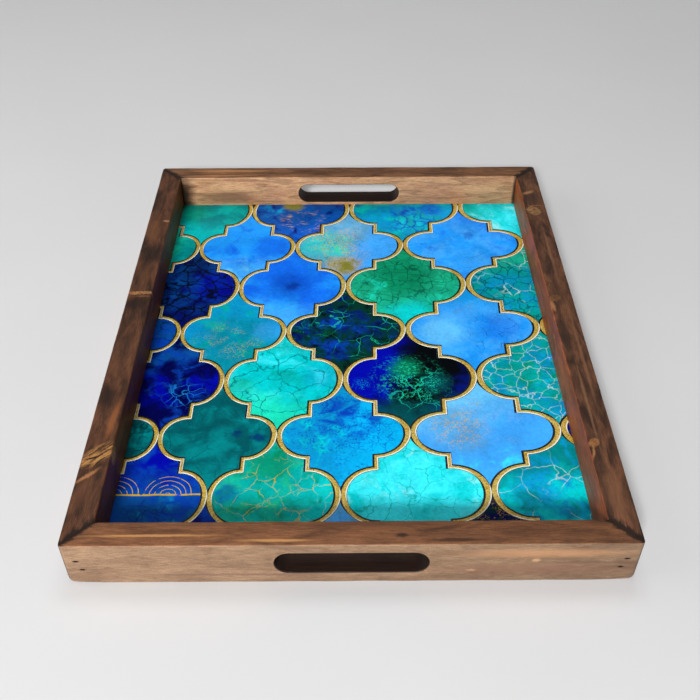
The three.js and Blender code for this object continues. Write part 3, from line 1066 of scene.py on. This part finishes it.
# The marks that stand out in each rail. Each has its place (along, across, height), half-sizes and tone, and
# where they're needed its strength, how ragged it is, its turn and the tone of the lines in it.
KNOT_PALE, KNOT_DARK, KNOT_LINE = (176, 126, 74), (78, 50, 32), (62, 42, 30)
FRONT_MARKS = (
    ((-121, -220.5, TOP), (46, 1.2, 3), (190, 138, 86), 0.8, 0.3),
    ((-46, -224.6, TOP), (26, 1.4, 3), (190, 138, 84), 0.8, 0.3),
    ((30.7, -221.4, TOP), (5, 2.2, 4), (40, 28, 24), 0.85),
    ((64, -225, TOP), (22, 1.8, 4), (50, 34, 27), 0.8, 0.6),
    ((56, -216, TOP), (16, 2.0, 4), (62, 42, 32), 0.6, 1.0, 0.15),
    ((10, -212, TOP), (60, 3.5, 5), (84, 56, 42), 0.6),
    ((-95, -212, TOP), (26, 3, 5), (104, 72, 52), 0.6),
    ((-75, -228.5, 8), (70, 9, 1.3), (116, 86, 76), 0.6, 0.5),
    ((-60, -228.5, 13), (36, 9, 0.7), (122, 92, 78), 0.5, 0.5),
    ((-40, -228.5, 25), (60, 9, 1.0), (134, 104, 84), 0.4, 0.5),
    ((118, -228.5, 27), (60, 9, 5), (190, 140, 100), 0.5, 0.5),
    ((113, -228.5, 20.7), (3, 9, 2.2), (204, 160, 118), 0.6),
    ((74, -228.5, 11.2), (3.5, 9, 1.0), (214, 172, 130), 0.7),
    ((110, -228.5, 12), (74, 9, 7), (120, 84, 68), 0.5),
    ((150, -228.5, 18), (40, 9, 1.4), (104, 74, 62), 0.5, 0.5),
)
BACK_MARKS_AND_SHADOW = (
    ((-110, 222, TOP), (44, 2.4, 4), (190, 136, 84), 0.7, 0.4),
    ((-125, 213, TOP), (36, 1.8, 4), (186, 132, 86), 0.65, 0.4),
    ((40, 219, TOP), (90, 4, 4), (80, 54, 42), 0.5),
    # Painted shadow: the left rail's shadow on the left end of the back rail's inner face.
    ((-158, 209, 16), (12, 3, 30), (38, 26, 23), 0.9),
    ((-112, 209, 14), (36, 3, 9), (112, 78, 62), 0.6),
    ((158.5, 209, 18), (2.2, 3, 30), (40, 28, 25), 0.9, 0.5),
)
LEFT_MARKS = (
    ((81, -168, TOP), (16, 12, 9), (40, 29, 25), 0.75),
    ((14, -168, TOP), (11, 12, 9), (36, 26, 23), 0.8),
    ((-95, -173, TOP), (14, 8, 9), (38, 28, 24), 0.75),
    ((-40, -170, TOP), (24, 6, 9), (52, 38, 31), 0.5),
    ((120, -170, TOP), (20, 6, 9), (116, 76, 48), 0.5),
    ((50, -168, TOP), (14, 6, 9), (108, 70, 46), 0.5),
    ((-118, -163.5, TOP), (24, 3, 6), (146, 88, 52), 0.7, 1.0, 0.08),
    ((-185, -170, TOP), (14, 8, 9), (96, 62, 44), 0.5),
    ((27.5, -168, TOP), (2.3, 12, 7), (172, 122, 80), 0.85, 1.0, 0.0, (100, 64, 40)),
    ((23.0, -166, TOP), (1.1, 8, 6), (132, 88, 56), 0.7),
    ((134, -162, TOP), (1.8, 4, 6), (168, 124, 86), 0.8),
    ((-152, -167.5, TOP - 3), (15, 7.5, 12), KNOT_PALE, 1, 1.0, 0.75, KNOT_DARK),
    ((-171, -171, TOP), (11, 1.8, 6), (164, 110, 70), 0.9, 1.0, 0.75),
    ((-155, -171, TOP), (7, 1.1, 4), (32, 22, 18), 1, 0.6, 1.2),
    ((-159, -166, TOP), (6, 0.9, 4), (40, 26, 20), 1, 0.6, 0.6),
)
RIGHT_MARKS = (
    ((172, 168, TOP), (18, 12, 9), (56, 42, 35), 0.6),
    ((148.6, 166, TOP), (10, 8, 9), (56, 40, 32), 0.8),
    ((149, 166, TOP), (6, 8, 9), (160, 118, 76), 0.8, 1.0, 1.2, KNOT_LINE),
    ((180, 166, TOP), (2.6, 7, 6), (160, 114, 74), 0.75, 1.0, -0.5),
    ((157, 170, TOP), (1.2, 9, 6), (130, 86, 56), 0.7),
    ((18, 163.5, TOP), (5, 4.4, 7), (142, 94, 58), 0.8, 1.0, 0.9, KNOT_LINE),
    ((8, 160.5, TOP), (9, 1.8, 6), (160, 110, 72), 0.8, 1.0, -0.05),
    ((20, 166, TOP), (10, 8, 6), (60, 42, 33), 0.4),
    ((-143, 163, TOP), (5, 3.4, 7), (164, 110, 64), 0.8, 1.0, 0.7, (92, 58, 34)),
    ((-152, 161, TOP), (8, 1.2, 6), (160, 108, 68), 0.8, 1.0, 0.1),
    ((-60, 172, TOP), (60, 1.5, 5), (128, 90, 64), 0.6, 0.4),
    ((-105, 166, TOP), (50, 1.2, 5), (134, 96, 68), 0.6, 0.4),
    ((80, 170, TOP), (46, 1.4, 5), (132, 94, 68), 0.6, 0.4),
    ((-30, 164, TOP), (26, 5, 6), (50, 35, 29), 0.65),
    ((60, 166, TOP), (20, 5, 6), (56, 39, 32), 0.6),
    ((-190, 168, TOP), (30, 7, 6), (128, 86, 60), 0.5),
)


def make_rails():
    """The four rails and their tones, the paler and the darker one of the faces and of the top."""
    brads = [box_mm(name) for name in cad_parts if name.startswith("corner_brad_front")]
    front = end_rail("front_rail_wood", 0)
    face, top = ((150, 121, 95), (124, 97, 76)), ((130, 86, 57), (92, 60, 42))
    # The 0.2 below is painted shade that darkens the front rail towards the right.
    wood = pine("front_rail_pine", 0, 1, face, top, 0.1, FRONT_MARKS, brads, 0.2, 0.8)
    wear(front, wood, "rail_wood", "front_rail")

    back = end_rail("back_rail_wood", 2)
    face, top = ((198, 154, 114), (170, 124, 91)), ((142, 98, 68), (88, 62, 45))
    wood = pine("back_rail_pine", 0, 2, face, top, 0.3, BACK_MARKS_AND_SHADOW, painted_falloff=0.12)
    wear(back, wood, "rail_wood", "back_rail")

    outer = ((142, 105, 77), (104, 74, 55))
    left = rail_body("left_rail_wood", 3)
    face, top = ((112, 62, 22), (84, 46, 16)), ((104, 67, 47), (52, 36, 28))
    wood = pine("left_rail_pine", 1, 3, face, top, 0.12, LEFT_MARKS, smudged=1.3, outer=outer)
    wear(left, wood, "rail_wood", "left_rail")

    right = rail_body("right_rail_wood", 1)
    face, top = ((182, 96, 48), (132, 68, 36)), ((112, 74, 52), (54, 37, 29))
    wood = pine("right_rail_pine", 1, 4, face, top, 0.12, RIGHT_MARKS, smudged=1.3, outer=outer)
    wear(right, wood, "rail_wood", "right_rail")
    for rail in (front, back, left, right):
        smooth(rail)


def make_print():
    """The panel's core, its tiles and the gilt lines between them, tucked a little way under the rails."""
    half_x, half_y = HALF_WIDTH - RAIL + PRINT_TUCK, HALF_LENGTH - RAIL + PRINT_TUCK
    rings = []
    for inset, z in ((0.3, PANEL_LOW.z), (0, PANEL_LOW.z + 0.3), (0, PANEL_TOP - TILE_THICKNESS - 0.05)):
        x, y = PANEL_HIGH.x - inset, PANEL_HIGH.y - inset
        rings.append([(x, y, z), (-x, y, z), (-x, -y, z), (x, -y, z)])
    core = mesh_object("panel_core", *loft(rings))
    wear(core, panel_core_paint("primed_board"), "base_board", "printed_panel")
    for seed, ((column, row), (first, *layers)) in enumerate(TILES.items()):
        piece = tile(column, row, half_x, half_y)
        if piece:
            ink = inked(f"{piece.name}_ink", on_panel(column, row), seed, first, layers)
            wear(piece, ink, "panel_print")
    gold = gilt("gilt")
    for column in LINES:
        line = gilt_string(column)
        clip(line, half_x, half_y)
        smooth(line, 60)
        wear(line, gold, "panel_print")


def make_fixings():
    repaint("base_board", hardboard("hardboard"))
    steel = brad_steel("brad_wire")
    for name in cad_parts:
        if "_brad_" in name:
            repaint(name, steel)


# ---- The studio ----


def make_floor():
    size = 3000  # half the floor's width
    corners = [(-size, -size, 0), (size, -size, 0), (size, size, 0), (-size, size, 0)]
    floor = mesh_object("floor", corners, [(0, 1, 2, 3)])
    paint = Paint("floor_paper", roughness=0.75, specular=0.3)
    mottle = paint.noise(paint.place(), 160, 3)
    floor.data.materials.append(paint.finish(paint.mix(mottle, rgb(210, 210, 211), rgb(216, 216, 216))))


def area_light(name, place, aim, size, power):
    data = bpy.data.lights.new(name, "AREA")
    data.shape = "RECTANGLE"
    data.size, data.size_y = size
    data.energy = power
    light = make_object(name, data)
    light.location = place
    light.rotation_euler = (Vector(aim) - Vector(place)).to_track_quat("-Z", "Y").to_euler()


def make_room():
    """The room's own dim light, brighter towards the horizon."""
    world = bpy.data.worlds.new("room")
    world.use_nodes = True
    nodes, links = world.node_tree.nodes, world.node_tree.links
    direction = nodes.new("ShaderNodeTexCoord")
    height = nodes.new("ShaderNodeSeparateXYZ")
    links.new(direction.outputs["Generated"], height.inputs[0])
    strength = nodes.new("ShaderNodeMapRange")
    links.new(height.outputs["Z"], strength.inputs["Value"])
    for name, value in (("From Min", 0), ("From Max", 0.45), ("To Min", 0.5), ("To Max", 0.09)):
        strength.inputs[name].default_value = value
    links.new(strength.outputs["Result"], nodes["Background"].inputs["Strength"])
    nodes["Background"].inputs["Color"].default_value = (0.99, 0.99, 1, 1)
    bpy.context.scene.world = world


def make_lights():
    area_light("window", (-0.5, -2.5, 1.65), (0, 0, 0), (0.6, 0.45), 106)
    area_light("wall", (-1.3, -0.1, 0.8), (-0.1, 0.1, 0), (1.2, 1.0), 5.5)
    area_light("ceiling", (0.1, 0.9, 2.6), (0.1, 0.9, 0), (1.4, 1.0), 18)
    make_room()


def make_camera():
    data = bpy.data.cameras.new("camera")
    data.lens = 50.2
    data.sensor_width = 36
    data.clip_start = 0.01
    camera = make_object("camera", data)
    camera.location = (-0.0018, -0.6042, 0.5044)
    camera.rotation_euler = (math.radians(50.03), 0, math.radians(-0.18))
    camera.rotation_euler.rotate_axis("Z", math.radians(-0.18))
    bpy.context.scene.camera = camera


make_rails()
make_print()
make_fixings()
make_floor()
make_lights()
make_camera()
bpy.context.scene.view_settings.view_transform = "Standard"
